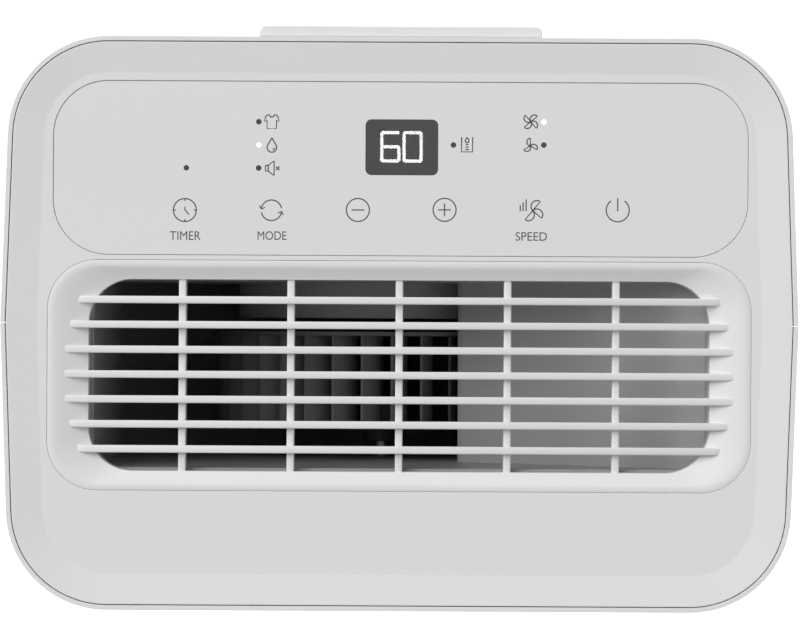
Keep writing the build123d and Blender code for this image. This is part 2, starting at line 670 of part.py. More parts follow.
with BuildPart() as bottle_hollow:
    rod_z(8, 60, (98, 202), 17)
    fillet(bottle_hollow.edges().filter_by(GeomType.CIRCLE), 6)

with BuildPart() as accumulator:
    rod_z(8, 60, (96, 204), 19)
    fillet(accumulator.edges().filter_by(GeomType.CIRCLE), 8)
    add(bottle_hollow.part, mode=Mode.SUBTRACT)
    with BuildLine() as path:
        FilletPolyline((8, 60, 97), (8, 60, 78), (31.8, 60, 78), radius=8)
    wire = path.wire()
    with BuildSketch(Plane(origin=wire @ 0, z_dir=wire % 0)):
        Circle(4)
    sweep(path=wire)
save(accumulator.part, "accumulator")

PIPES = {
    "suction_pipe": ([(118, 75, 262), (152, 75, 262), (152, 75, 223), (8, 75, 223), (8, 60, 223), (8, 60, 204)], 4.0, 3.4, 6),
    "discharge_pipe": ([(88, 57, 212), (88, 57, 222), (88, 36, 222), (158, 36, 222), (158, 36, 430), (118, 36, 430)], 3.0, 2.4, 4.5),
    "capillary_tube": ([(146, 36, 334), (146, 36, 400), (146, 75, 400), (146, 75, 430), (118, 75, 430)], 1.3, 0.7, 6),
}
for name, (points, r_out, r_in, bend) in PIPES.items():
    with BuildPart() as pipe:
        with BuildLine() as path:
            FilletPolyline(*points, radius=bend)
        wire = path.wire()
        with BuildSketch(Plane(origin=wire @ 0, z_dir=wire % 0)):
            Circle(r_out)
            Circle(r_in, mode=Mode.SUBTRACT)
        sweep(path=wire)
    save(pipe.part, name)

with BuildPart() as filter_drier:
    rod_z(146, 36, (276, 334), 7)
    fillet(filter_drier.edges().filter_by(GeomType.CIRCLE), 3)
    with BuildLine() as path:
        FilletPolyline((118, 36, 262), (146, 36, 262), (146, 36, 277), radius=6)
    wire = path.wire()
    with BuildSketch(Plane(origin=wire @ 0, z_dir=wire % 0)):
        Circle(3.3)
    sweep(path=wire)
save(filter_drier.part, "filter_drier")

# ---- electrics
with BuildPart() as control_box:
    block((-140, -30), (20, 102), (45, 165))
    block((-138, -32), (22, 100), (47, 166), Mode.SUBTRACT)
save(control_box.part, "control_box")

with BuildPart() as main_board:
    block((-132, -40), (28, 94), (56, 57.6))
    block((-125, -100), (35, 60), (57.6, 82))
    block((-80, -50), (35, 75), (57.6, 78))
    for x in (-120, -108):
        rod_z(x, 82, (57.6, 80), 5)
save(main_board.part, "main_board")

# ---- carry handle
py, pz = HANDLE_PIVOT
with BuildPart() as carry_handle:
    block((-HANDLE_HALF_W, HANDLE_HALF_W), (REAR_Y + 0.3, HANDLE_REAR), HANDLE_Z)
    fillet(carry_handle.edges().filter_by(Axis.Z).group_by(Axis.Y)[-1], 3)
    block((-46.5, 46.5), (REAR_Y, HANDLE_REAR + 1), HANDLE_GAP, Mode.SUBTRACT)
    for side in (-1, 1):
        x0 = min(side * 48.5, side * HANDLE_HALF_W)
        with BuildSketch(Plane.YZ.offset(x0)):
            with BuildLine():
                Polyline((py, pz - 5), (REAR_Y + 0.8, HANDLE_Z[0]), (REAR_Y + 0.8, pz + 14), (REAR_Y - 1, pz + 12),
                         (py - 3.5, pz + 3.5), close=True)
            make_face()
            with Locations((py, pz)):
                Circle(5)
        extrude(amount=HANDLE_HALF_W - 48.5)
        rod_x(sorted((side * (HANDLE_HALF_W - 1), side * 67)), py, pz, 3.0)
save(carry_handle.part, "carry_handle")

# ---- intake grille with its filter
with BuildPart() as intake_grille:
    with BuildSketch(Plane.XZ.offset(-REAR_Y)):
        with Locations((0, (INTAKE_Z[0] + INTAKE_Z[1]) / 2)):
            RectangleRounded(2 * INTAKE_HALF_W, INTAKE_Z[1] - INTAKE_Z[0], 4.5)
    extrude(amount=2.5)
    lower = intake_grille.edges().filter_by(Axis.X).group_by(Axis.Z)[0].sort_by(Axis.Y)[-1]
    chamfer(lower, 1.6)
    for k in range(18):
        z = 247 + 7.4 * k
        if z < 372:
            for x in (-74.0, 0.0, 74.0):
                block((x - 34, x + 34), (REAR_Y - 4, REAR_Y + 1), (z, z + 4.4), Mode.SUBTRACT)
    block((-16, 16), (REAR_Y - 4, REAR_Y + 1), (380, 390), Mode.SUBTRACT)
    for side in (-1, 1):
        block(sorted((side * (INTAKE_HALF_W - 5), side * INTAKE_HALF_W)), (INTAKE_HINGE[0] - 4, REAR_Y - 2.4), (237.5, 243))
        rod_x(sorted((side * (INTAKE_HALF_W - 2), side * (INTAKE_HALF_W + 3.4))), INTAKE_HINGE[0] - 1.5, INTAKE_HINGE[1], 2.0)
save(intake_grille.part, "intake_grille")

with BuildPart() as filter_frame:
    block((-112, 112), (110.5, 117.25), (244.5, 379))
    block((-108, 108), (110, 118), (248.5, 375), Mode.SUBTRACT)
    for x in (-36, 36):
        block((x - 1.5, x + 1.5), (110.5, 113.5), (248, 375.5))
save(filter_frame.part, "filter_frame")

with BuildPart() as filter_mesh:
    block((-108, 108), (113.8, 114.6), (248.5, 375))
save(filter_mesh.part, "filter_mesh")
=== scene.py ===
"""Looks of an upright dehumidifier: finishes, fine pieces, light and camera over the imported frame."""
import json
import logging
import math
from dataclasses import dataclass
from enum import Enum
from typing import Any, Dict, Iterable, List, Optional, Sequence, Tuple

import bmesh
import bpy
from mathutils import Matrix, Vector

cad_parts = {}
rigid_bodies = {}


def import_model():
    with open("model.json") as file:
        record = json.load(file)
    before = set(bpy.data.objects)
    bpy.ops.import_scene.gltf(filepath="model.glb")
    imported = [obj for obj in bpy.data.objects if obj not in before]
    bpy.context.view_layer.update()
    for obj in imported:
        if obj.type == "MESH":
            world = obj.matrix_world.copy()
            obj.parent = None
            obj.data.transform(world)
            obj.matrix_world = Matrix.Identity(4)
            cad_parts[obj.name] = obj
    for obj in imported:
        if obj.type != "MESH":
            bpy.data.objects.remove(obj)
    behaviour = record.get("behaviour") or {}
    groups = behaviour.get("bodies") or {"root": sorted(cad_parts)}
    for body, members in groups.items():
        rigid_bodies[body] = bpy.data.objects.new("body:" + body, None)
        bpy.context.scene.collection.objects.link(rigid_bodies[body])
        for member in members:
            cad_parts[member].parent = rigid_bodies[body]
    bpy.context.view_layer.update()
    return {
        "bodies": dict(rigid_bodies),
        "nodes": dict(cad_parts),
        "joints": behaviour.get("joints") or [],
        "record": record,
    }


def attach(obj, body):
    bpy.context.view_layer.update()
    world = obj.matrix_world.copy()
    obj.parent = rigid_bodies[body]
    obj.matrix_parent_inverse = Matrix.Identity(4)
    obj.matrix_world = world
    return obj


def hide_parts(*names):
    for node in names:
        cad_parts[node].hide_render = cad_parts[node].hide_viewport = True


log = logging.getLogger("dehumidifier")
MM = 0.001
TURNED_CREASE = 35.0
MERGE_WITHIN = 2e-6
FLAT_WITHIN = 0.3
Colour = Tuple[float, float, float]
Point = Tuple[float, float, float]


class Body(Enum):
    """Moving bodies that fine pieces ride on."""

    CABINET = "cabinet"
    HANDLE = "handle"
    INTAKE = "intake"
    TANK = "water_tank"
    BLOWER = "blower"


# ---------------------------------------------------------------- shader helpers
class Value:
    """A shader socket that can be used in Python expressions."""

    def __init__(self, tree: "Nodes", socket: Any) -> None:
        """Keep the socket and the tree it belongs to."""
        self.tree = tree
        self.socket = socket

    def _math(self, operation: str, a: Any, b: Any) -> "Value":
        """Add one Math node on two operands."""
        return self.tree.add("ShaderNodeMath", {"operation": operation}, {0: a, 1: b})

    def __add__(self, other: Any) -> "Value":
        """Sum."""
        return self._math("ADD", self, other)

    def __radd__(self, other: Any) -> "Value":
        """Sum, reflected."""
        return self._math("ADD", other, self)

    def __sub__(self, other: Any) -> "Value":
        """Difference."""
        return self._math("SUBTRACT", self, other)

    def __mul__(self, other: Any) -> "Value":
        """Product."""
        return self._math("MULTIPLY", self, other)

    def __lt__(self, other: Any) -> "Value":
        """One where this is less than the other."""
        return self._math("LESS_THAN", self, other)

    def __gt__(self, other: Any) -> "Value":
        """One where this is greater than the other."""
        return self._math("GREATER_THAN", self, other)


class Nodes:
    """Writes the node tree of one material."""

    def __init__(self, name: str) -> None:
        """Start a material with a Principled surface.

        Args:
            name: name of the material.
        """
        self.material = bpy.data.materials.new(name)
        self.material.use_nodes = True
        self.tree = self.material.node_tree
        self.tree.nodes.clear()
        self.output = self.tree.nodes.new("ShaderNodeOutputMaterial")
        self.shader = self.tree.nodes.new("ShaderNodeBsdfPrincipled")
        self.tree.links.new(self.shader.outputs[0], self.output.inputs[0])

    def add(self, kind: str, settings: Dict[str, Any], inputs: Dict[Any, Any], out: Any = 0) -> Value:
        """Add a node.

        Args:
            kind: node type.
            settings: attributes set before the inputs.
            inputs: socket key to a value or link.
            out: key of the output to return.

        Returns:
            The chosen output, wrapped.
        """
        node = self.tree.nodes.new(kind)
        for key, value in settings.items():
            setattr(node, key, value)
        for key, value in inputs.items():
            self.feed(node.inputs[key], value)
        return Value(self, node.outputs[out])

    def feed(self, socket: Any, value: Any) -> None:
        """Link or set one input socket."""
        if isinstance(value, Value):
            self.tree.links.new(value.socket, socket)
        else:
            socket.default_value = value

    def surface(self, **inputs: Any) -> None:
        """Set or link inputs of the surface shader, underscores for spaces."""
        for key, value in inputs.items():
            self.feed(self.shader.inputs[key.replace("_", " ")], value)

    def place(self) -> Value:
        """Object coordinates."""
        return self.add("ShaderNodeTexCoord", {}, {}, "Object")

    def axes(self) -> Tuple[Value, Value, Value]:
        """Object coordinates as separate X, Y and Z."""
        first = self.add("ShaderNodeSeparateXYZ", {}, {0: self.place()}, "X")
        node = first.socket.node
        return first, Value(self, node.outputs["Y"]), Value(self, node.outputs["Z"])

    def noise(self, scale: float, detail: float = 3.0, stretch: Point = (1.0, 1.0, 1.0)) -> Value:
        """Noise on object coordinates.

        Args:
            scale: cells per metre.
            detail: octaves.
            stretch: scale of each axis.

        Returns:
            The noise factor.
        """
        spot = self.add("ShaderNodeMapping", {}, {"Vector": self.place(), "Scale": stretch})
        return self.add("ShaderNodeTexNoise", {}, {"Vector": spot, "Scale": scale, "Detail": detail}, "Fac")

    def mix(self, factor: Any, a: Any, b: Any) -> Value:
        """Blend two colours by a factor."""
        return self.add("ShaderNodeMix", {"data_type": "RGBA"}, {0: factor, 6: a, 7: b}, 2)

    def bump(self, height: Value, distance: float, strength: float = 1.0) -> Value:
        """Bump from a height value."""
        return self.add("ShaderNodeBump", {}, {"Height": height, "Distance": distance, "Strength": strength})


def rgba(colour: Colour, shade: float = 1.0) -> Tuple[float, float, float, float]:
    """Colour with full alpha, darkened or lightened by a factor."""
    return (*(c * shade for c in colour), 1.0)


@dataclass(frozen=True)
class Moulded:
    """Spark-eroded moulded plastic with a fine grain and slight tone drift."""

    name: str
    colour: Colour
    rough: float = 0.55
    grain: float = 0.00003
    drift: float = 0.04
    grain_scale: float = 1500.0
    coat: float = 0.0

    def make(self) -> bpy.types.Material:
        """Build the material."""
        n = Nodes(self.name)
        cloud = n.noise(9.0, 2.0)
        speck = n.noise(self.grain_scale, 2.0)
        spot = {"Vector": n.place(), "Scale": self.grain_scale * 0.8}
        pits = n.add("ShaderNodeTexVoronoi", {}, spot, "Distance")
        dark = rgba(self.colour, 1.0 - self.drift)
        tone = n.mix(cloud * 0.6 + speck * 0.4, dark, rgba(self.colour))
        n.surface(
            Base_Color=tone,
            Roughness=speck * 0.12 + (self.rough - 0.06) + cloud * 0.04,
            Normal=n.bump(pits * 0.5 + speck, self.grain),
            Coat_Weight=self.coat,
        )
        return n.material


@dataclass(frozen=True)
class Metal:
    """Bare or coated metal with drawing lines along one axis."""

    name: str
    colour: Colour
    rough: float = 0.35
    along: Point = (1.0, 1.0, 20.0)
    metallic: float = 1.0

    def make(self) -> bpy.types.Material:
        """Build the material."""
        n = Nodes(self.name)
        lines = n.noise(400.0, 3.0, self.along)
        cloud = n.noise(30.0, 3.0)
        n.surface(
            Base_Color=n.mix(cloud, rgba(self.colour, 0.72), rgba(self.colour)),
            Metallic=self.metallic,
            Roughness=lines * 0.22 + (self.rough - 0.1),
            Normal=n.bump(lines, 0.00004),
        )
        return n.material


@dataclass(frozen=True)
class Clear:
    """Clear or tinted plastic that shows what is behind it."""

    name: str
    colour: Colour
    alpha: float
    rough: float = 0.08

    def make(self) -> bpy.types.Material:
        """Build the material."""
        n = Nodes(self.name)
        haze = n.noise(60.0, 3.0)
        scratch = n.noise(900.0, 2.0, (1.0, 12.0, 1.0))
        n.surface(
            Base_Color=n.mix(haze, rgba(self.colour, 0.93), rgba(self.colour)),
            Alpha=self.alpha + haze * 0.04,
            Roughness=self.rough + haze * 0.05 + scratch * 0.03,
            Normal=n.bump(scratch, 0.000004),
        )
        return n.material


@dataclass(frozen=True)
class Glow:
    """Lit diffuser with a slight cloud in its brightness."""

    name: str
    colour: Colour
    strength: float

    def make(self) -> bpy.types.Material:
        """Build the material."""
        n = Nodes(self.name)
        cloud = n.noise(400.0, 2.0)
        dim = rgba(self.colour, 0.9)
        n.surface(
            Base_Color=n.mix(cloud, dim, rgba(self.colour)),
            Emission_Color=n.mix(cloud, dim, rgba(self.colour)),
            Emission_Strength=self.strength,
            Roughness=0.4 + cloud * 0.1,
        )
        return n.material


@dataclass(frozen=True)
class Lights:
    """Indicator rods: smoked when off, white where a round spot is lit."""

    name: str
    lit: Tuple[Tuple[float, float], ...]

    def make(self) -> bpy.types.Material:
        """Build the material."""
        n = Nodes(self.name)
        x, y, _ = n.axes()
        mask: Any = 0.0
        for px, py in self.lit:
            dx = x - px * MM
            dy = y - py * MM
            mask = (dx * dx + dy * dy < (3.0 * MM) ** 2) + mask
        grain = n.noise(900.0, 2.0)
        n.surface(
            Base_Color=n.mix(mask, n.mix(grain, (0.05, 0.05, 0.05, 1), (0.08, 0.08, 0.08, 1)), (1, 1, 1, 1)),
            Emission_Color=n.mix(mask, (0, 0, 0, 1), (1, 1, 1, 1)),
            Emission_Strength=0.35,
            Roughness=0.3 + grain * 0.1,
        )
        return n.material


@dataclass(frozen=True)
class Mesh:
    """Woven filter cloth: a fine square weave with open holes."""

    name: str
    colour: Colour
    pitch: float = 0.0012

    def make(self) -> bpy.types.Material:
        """Build the material."""
        n = Nodes(self.name)
        x, _, z = n.axes()
        turn = 2 * math.pi / self.pitch
        wave_x = n.add("ShaderNodeMath", {"operation": "SINE"}, {0: x * turn})
        wave_z = n.add("ShaderNodeMath", {"operation": "SINE"}, {0: z * turn})
        thread = n.add("ShaderNodeMath", {"operation": "MAXIMUM"}, {0: wave_x, 1: wave_z})
        n.surface(
            Base_Color=n.mix(n.noise(200.0), rgba(self.colour, 0.7), rgba(self.colour)),
            Roughness=0.7 + thread * 0.1,
            Alpha=(thread > 0.1) * 0.75 + 0.25,
            Normal=n.bump(thread, 0.0001),
        )
        return n.material


@dataclass(frozen=True)
class Board:
    """Printed circuit board with copper tracks under solder resist."""

    name: str
    colour: Colour = (0.02, 0.16, 0.07)

    def make(self) -> bpy.types.Material:
        """Build the material."""
        n = Nodes(self.name)
        tracks = n.add(
            "ShaderNodeTexBrick", {"offset": 0.5},
            {"Vector": n.place(), "Scale": 90.0, "Mortar Size": 0.03}, "Fac")
        n.surface(
            Base_Color=n.mix(tracks, rgba(self.colour), (0.05, 0.32, 0.14, 1)),
            Roughness=0.3 + n.noise(500.0) * 0.15,
            Normal=n.bump(tracks, 0.00005),
        )
        return n.material


@dataclass(frozen=True)
class Duct:
    """Scroll moulding in one darker tone, with painted light on the diffuser ramp beside the tongue: there
    the same moulding is coloured a lighter grey, standing for light that reaches into the scroll.
    """

    name: str
    black: Colour
    # grey: the lighter tone, painted on the ramp as painted light
    grey: Colour
    split_x: float
    floor_z: float

    def make(self) -> bpy.types.Material:
        """Build the material."""
        n = Nodes(self.name)
        x, _, z = n.axes()
        # Painted light: right of split_x and above floor_z the ramp takes the lighter grey; the rest keeps
        # the moulding's darker tone.
        ramp = (x > self.split_x * MM) * (z > self.floor_z * MM)
        cloud = n.noise(14.0, 2.0)
        speck = n.noise(1200.0, 2.0)
        # dark is the moulding's own tone, light is the painted-light tone of the ramp.
        dark = n.mix(cloud, rgba(self.black), rgba(self.black, 1.3))
        light = n.mix(cloud, rgba(self.grey), rgba(self.grey, 0.96))
        n.surface(
            Base_Color=n.mix(ramp, dark, light),
            Roughness=0.42 + speck * 0.1,
            Normal=n.bump(speck, 0.00002),
        )
        return n.material


FINISHES: Dict[str, Any] = {
    "casing": Moulded("casing matte", (0.80, 0.80, 0.803)),
    "cover": Moulded("cover matte", (0.80, 0.80, 0.803)),
    "panel": Moulded("panel film", (0.80, 0.80, 0.803), rough=0.45, grain=0.000012, grain_scale=2500.0),
    "grille": Moulded("grille matte", (0.80, 0.80, 0.803), rough=0.5),
    "lens": Clear("smoked lens", (0.092, 0.092, 0.094), 0.86),
    "dark": Moulded("black moulding", (0.02, 0.02, 0.021), 0.5),
    "glow": Glow("lit segments", (1.0, 1.0, 1.0), 60.0),
    "guide": Lights("indicator rods", ((-60.3, 73.6), (61.2, 84.0))),
    "pcb": Board("green board"),
    "spring": Metal("bright spring wire", (0.75, 0.75, 0.77)),
    "inner": Moulded("black blower", (0.16, 0.16, 0.1615), 0.5, grain=0.00002),
    # Scroll duct: the second, lighter grey is painted light on the ramp beside the tongue.
    "duct": Duct("scroll duct with painted lit ramp", (0.36, 0.36, 0.362), (0.47, 0.47, 0.473), 28.3, 417.0),
    "grey": Moulded("grey moulding", (0.16, 0.165, 0.17), 0.55),
    "tank": Clear("frosted tank", (0.55, 0.64, 0.70), 0.72, 0.35),
    "clear": Clear("clear gauge", (0.60, 0.68, 0.72), 0.45, 0.1),
    "white": Moulded("white moulding", (0.72, 0.72, 0.72)),
    "foam": Moulded("float foam", (0.80, 0.80, 0.77), 0.85, grain=0.0002, grain_scale=700.0),
    "steel": Metal("ground steel", (0.62, 0.62, 0.64)),
    "zinc": Metal("zinc plate", (0.55, 0.56, 0.58), 0.45),
    "enamel": Moulded("black enamel", (0.012, 0.012, 0.013), 0.3, coat=0.6),
    "core": Metal("laminated core", (0.25, 0.25, 0.26), 0.55),
    "copper": Metal("drawn copper", (0.72, 0.38, 0.24), 0.3),
    "fins": Metal("rolled fins", (0.78, 0.79, 0.81), 0.35),
    "rubber": Moulded("moulded rubber", (0.018, 0.018, 0.018), 0.75, grain=0.00005),
    "tread": Moulded("wheel tread", (0.03, 0.03, 0.031), 0.6, grain=0.00005),
    "mesh": Mesh("filter cloth", (0.16, 0.17, 0.18)),
    "ink": Moulded("printed ink", (0.085, 0.085, 0.087), 0.5, grain=0.000005),
}
_made: Dict[str, bpy.types.Material] = {}


def finish(key: str) -> bpy.types.Material:
    """Material of a named finish, built once."""
    if key not in _made:
        _made[key] = FINISHES[key].make()
    return _made[key]


# ---------------------------------------------------------------- mesh helpers
def rounded(
    width: float, depth: float, radius: float, cx: float, cy: float, steps: int = 14
) -> List[Tuple[float, float]]:
    """Rounded rectangle outline, anticlockwise.

    Args:
        width: size along the first axis.
        depth: size along the second axis.
        radius: corner radius.
        cx: centre on the first axis.
        cy: centre on the second axis.
        steps: points in each corner.

    Returns:
        The outline's points.
    """
    spots = []
    for k, (sx, sy) in enumerate(((1, 1), (-1, 1), (-1, -1), (1, -1))):
        for j in range(steps + 1):
            a = math.pi / 2 * (k + j / steps)
            spots.append((cx + sx * (width / 2 - radius) + radius * math.cos(a),
                          cy + sy * (depth / 2 - radius) + radius * math.sin(a)))
    return spots


def shell_from_rings(
    name: str, rings: Sequence[Sequence[Point]], closed: bool = False, sharp: float = 40.0
) -> bpy.types.Object:
    """Skin a run of equal rings, in millimetres.

    Args:
        name: object name.
        rings: lists of points of equal length.
        closed: join the last ring to the first.
        sharp: crease angle in degrees.

    Returns:
        The linked object.
    """
    bm = bmesh.new()
    rows = [[bm.verts.new(Vector(p) * MM) for p in ring] for ring in rings]
    count = len(rows[0])
    pairs = list(zip(rows, rows[1:])) + ([(rows[-1], rows[0])] if closed else [])
    for low, high in pairs:
        for i in range(count):
            j = (i + 1) % count
            bm.faces.new((low[i], low[j], high[j], high[i]))
    if not closed:
        bm.faces.new(list(reversed(rows[0])))
        bm.faces.new(rows[-1])
    bmesh.ops.remove_doubles(bm, verts=bm.verts, dist=1e-7)
    bmesh.ops.recalc_face_normals(bm, faces=bm.faces)
    return from_bmesh(name, bm, sharp)


def linked(name: str, data: Any) -> bpy.types.Object:
    """New object of some data, linked to the scene."""
    obj = bpy.data.objects.new(name, data)
    bpy.context.scene.collection.objects.link(obj)
    return obj


def smooth(mesh: bpy.types.Mesh, sharp: float) -> None:
    """Shade a mesh smooth, with creases above an angle in degrees."""
    for poly in mesh.polygons:
        poly.use_smooth = True
    mesh.set_sharp_from_angle(angle=math.radians(sharp))


def from_bmesh(name: str, bm: bmesh.types.BMesh, sharp: float = 40.0) -> bpy.types.Object:
    """Turn a bmesh into a linked object with smooth faces and sharp creases."""
    mesh = bpy.data.meshes.new(name)
    bm.to_mesh(mesh)
    bm.free()
    smooth(mesh, sharp)
    return linked(name, mesh)


def dress(obj: bpy.types.Object, key: str) -> bpy.types.Object:
    """Give an object one finish."""
    obj.data.materials.clear()
    obj.data.materials.append(finish(key))
    return obj


def bevel(
    obj: bpy.types.Object, width: float, segments: int = 3, angle: float = 35.0, plain: bool = False
) -> bpy.types.Object:
    """Round the edges of a piece with a live Bevel.

    Args:
        obj: the piece.
        width: radius in millimetres.
        segments: steps round the edge.
        angle: smallest corner that is rounded, in degrees.
        plain: keep flat faces flat in the shading, and the full radius beside short edges.

    Returns:
        The same object.
    """
    mod = obj.modifiers.new("soft edges", "BEVEL")
    mod.width = width * MM
    mod.segments = segments
    mod.limit_method = "ANGLE"
    mod.angle_limit = math.radians(angle)
    mod.use_clamp_overlap = not plain
    if plain:
        even = obj.modifiers.new("flat faces", "WEIGHTED_NORMAL")
        even.weight = 100
    return obj


def joined(name: str, pieces: Iterable[bpy.types.Object]) -> bpy.types.Object:
    """Merge several objects' meshes into one object."""
    bm = bmesh.new()
    for piece in pieces:
        bm.from_mesh(piece.data)
        bpy.data.objects.remove(piece)
    mesh = bpy.data.meshes.new(name)
    bm.to_mesh(mesh)
    bm.free()
    return linked(name, mesh)


def lathe(
    name: str, profile: Sequence[Tuple[float, float]], cx: float, cz: float, steps: int = 96
) -> bpy.types.Object:
    """Turn a closed profile about an axis along Y, in millimetres.

    Args:
        name: object name.
        profile: (radius, y) pairs in order round the section.
        cx: axis position on X.
        cz: axis position on Z.
        steps: divisions of the turn.

    Returns:
        The linked object.
    """
    rings = []
    for r, y in profile:
        turns = [2 * math.pi * k / steps for k in range(steps)]
        rings.append([(cx + r * math.cos(t), y, cz + r * math.sin(t)) for t in turns])
    return shell_from_rings(name, rings, closed=True, sharp=TURNED_CREASE)


def add_piece(obj: bpy.types.Object, body: Body, replaces: Sequence[str] = ()) -> None:
    """Ride a piece on a body and log it.

    Args:
        obj: the piece.
        body: body it rides on.
        replaces: nodes that it stands for.
    """
    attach(obj, body.value)
    if replaces:
        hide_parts(*replaces)
    log.info("piece %s on %s", obj.name, body.value)


@dataclass(frozen=True)
class Soft:
    """How one CAD node is turned into a merged piece with rounded edges."""

    node: str
    key: str
    width: float = 0.4
    body: Body = Body.CABINET
    slot: str = "casing"
    segments: int = 2
    angle: float = 30.0

    def build(self) -> bpy.types.Object:
        """Merge a copy of the node's triangles, round its edges and let it stand for the node."""
        obj = self.merged()
        add_piece(obj, self.body, [self.node])
        return obj

    def merged(self) -> bpy.types.Object:
        """Finished copy of the node with its edges rounded."""
        bm = bmesh.new()
        bm.from_mesh(FRAME["nodes"][self.node].data)
        bmesh.ops.remove_doubles(bm, verts=bm.verts, dist=MERGE_WITHIN)
        bmesh.ops.dissolve_limit(bm, angle_limit=math.radians(FLAT_WITHIN), verts=bm.verts, edges=bm.edges)
        obj = from_bmesh(f"{self.node}_soft", bm, 180.0)
        dress(obj, self.key)
        return bevel(obj, self.width, self.segments, self.angle, True)


# ---------------------------------------------------------------- geometry nodes
class Geometry:
    """Writes one Geometry Nodes tree and bakes it to a mesh."""

    def __init__(self, name: str, sizes: Dict[str, float], counts: Optional[Dict[str, int]] = None) -> None:
        """Start a tree with named inputs.

        Args:
            name: tree name.
            sizes: float inputs, in metres or radians.
            counts: whole number inputs.
        """
        self.name = name
        self.values = {**sizes, **(counts or {})}
        self.tree = bpy.data.node_groups.new(name, "GeometryNodeTree")
        face = self.tree.interface
        face.new_socket("Geometry", in_out="INPUT", socket_type="NodeSocketGeometry")
        face.new_socket("Geometry", in_out="OUTPUT", socket_type="NodeSocketGeometry")
        for key in sizes:
            face.new_socket(key, in_out="INPUT", socket_type="NodeSocketFloat")
        for key in counts or {}:
            face.new_socket(key, in_out="INPUT", socket_type="NodeSocketInt")
        self.source = self.tree.nodes.new("NodeGroupInput")
        self.sink = self.tree.nodes.new("NodeGroupOutput")

    def size(self, key: str) -> Any:
        """Socket of a named input."""
        return self.source.outputs[key]

    def add(self, kind: str, settings: Dict[str, Any], inputs: Dict[Any, Any]) -> Any:
        """Add a node and return it."""
        node = self.tree.nodes.new(kind)
        for key, value in settings.items():
            setattr(node, key, value)
        for key, value in inputs.items():
            if isinstance(value, bpy.types.NodeSocket):
                self.tree.links.new(value, node.inputs[key])
            else:
                node.inputs[key].default_value = value
        return node

    def bake(self, start: bpy.types.Object, geometry: Any, material: bpy.types.Material) -> bpy.types.Object:
        """End the tree, run it on an object and keep the plain mesh.

        Args:
            start: object that carries the modifier.
            geometry: last geometry socket.
            material: material set on the result.

        Returns:
            A new object with the baked mesh.
        """
        real = self.add("GeometryNodeRealizeInstances", {}, {0: geometry})
        done = self.add("GeometryNodeSetMaterial", {}, {0: real.outputs[0], "Material": material})
        self.tree.links.new(done.outputs[0], self.sink.inputs[0])
        mod = start.modifiers.new(self.name, "NODES")
        mod.node_group = self.tree
        for item in self.tree.interface.items_tree:
            if item.item_type == "SOCKET" and item.in_out == "INPUT" and item.name in self.values:
                mod[item.identifier] = self.values[item.name]
        bpy.context.view_layer.update()
        graph = bpy.context.evaluated_depsgraph_get()
        mesh = bpy.data.meshes.new_from_object(start.evaluated_get(graph))
        start.modifiers.remove(mod)
        obj = linked(self.name, mesh)
        bpy.data.objects.remove(start)
        return obj


def carrier(
    name: str, points: Sequence[Point] = (), edges: Sequence[Tuple[int, int]] = ()
) -> bpy.types.Object:
    """Linked mesh of loose points or edges, in metres, for a tree to start from."""
    mesh = bpy.data.meshes.new(name)
    mesh.from_pydata(list(points) or [(0, 0, 0)], list(edges), [])
    return linked(name, mesh)


# ---------------------------------------------------------------- printed marks
Stroke = List[Tuple[float, float]]
KEY_RING = 4.9


class Icon(Enum):
    """Generic marks printed on the panel."""

    SHIRT = "shirt"
    DROP = "drop"
    MUTE = "mute"
    TANK = "tank"
    FAN_HIGH = "fan_high"
    FAN_LOW = "fan_low"
    CLOCK = "clock"
    SWAP = "swap"
    MINUS = "minus"
    PLUS = "plus"
    SPEED = "speed"
    POWER = "power"


def arc(cx: float, cy: float, r: float, start: float, end: float, steps: int = 20) -> Stroke:
    """Arc from one angle to another, in degrees."""
    return [(cx + r * math.cos(math.radians(start + (end - start) * k / steps)),
             cy + r * math.sin(math.radians(start + (end - start) * k / steps))) for k in range(steps + 1)]


def fan_marks(
    blades: int, r: float, cx: float = 0.0, cy: float = 0.0, turn: float = 0.0, skip: int = -1
) -> List[Stroke]:
    """Fan of leaves with one straight and one full edge, meeting at the middle.

    Args:
        blades: number of leaves.
        r: reach of a leaf in millimetres.
        cx: centre, first axis.
        cy: centre, second axis.
        turn: direction of the first leaf's straight edge in degrees.
        skip: leaf that is left out.

    Returns:
        One closed stroke for each leaf.
    """
    leaf = [(0.0, 0.0), (1.0, 0.0)] + [
        (0.52 + 0.50 * math.cos(math.radians(a)), 0.47 * math.sin(math.radians(a)))
        for a in range(12, 169, 12)]
    marks = []
    for k in [n for n in range(blades) if n != skip]:
        c = math.cos(math.radians(turn) + 2 * math.pi * k / blades)
        d = math.sin(math.radians(turn) + 2 * math.pi * k / blades)
        marks.append([(cx + r * (c * x - d * y), cy + r * (d * x + c * y)) for x, y in leaf + leaf[:1]])
    return marks


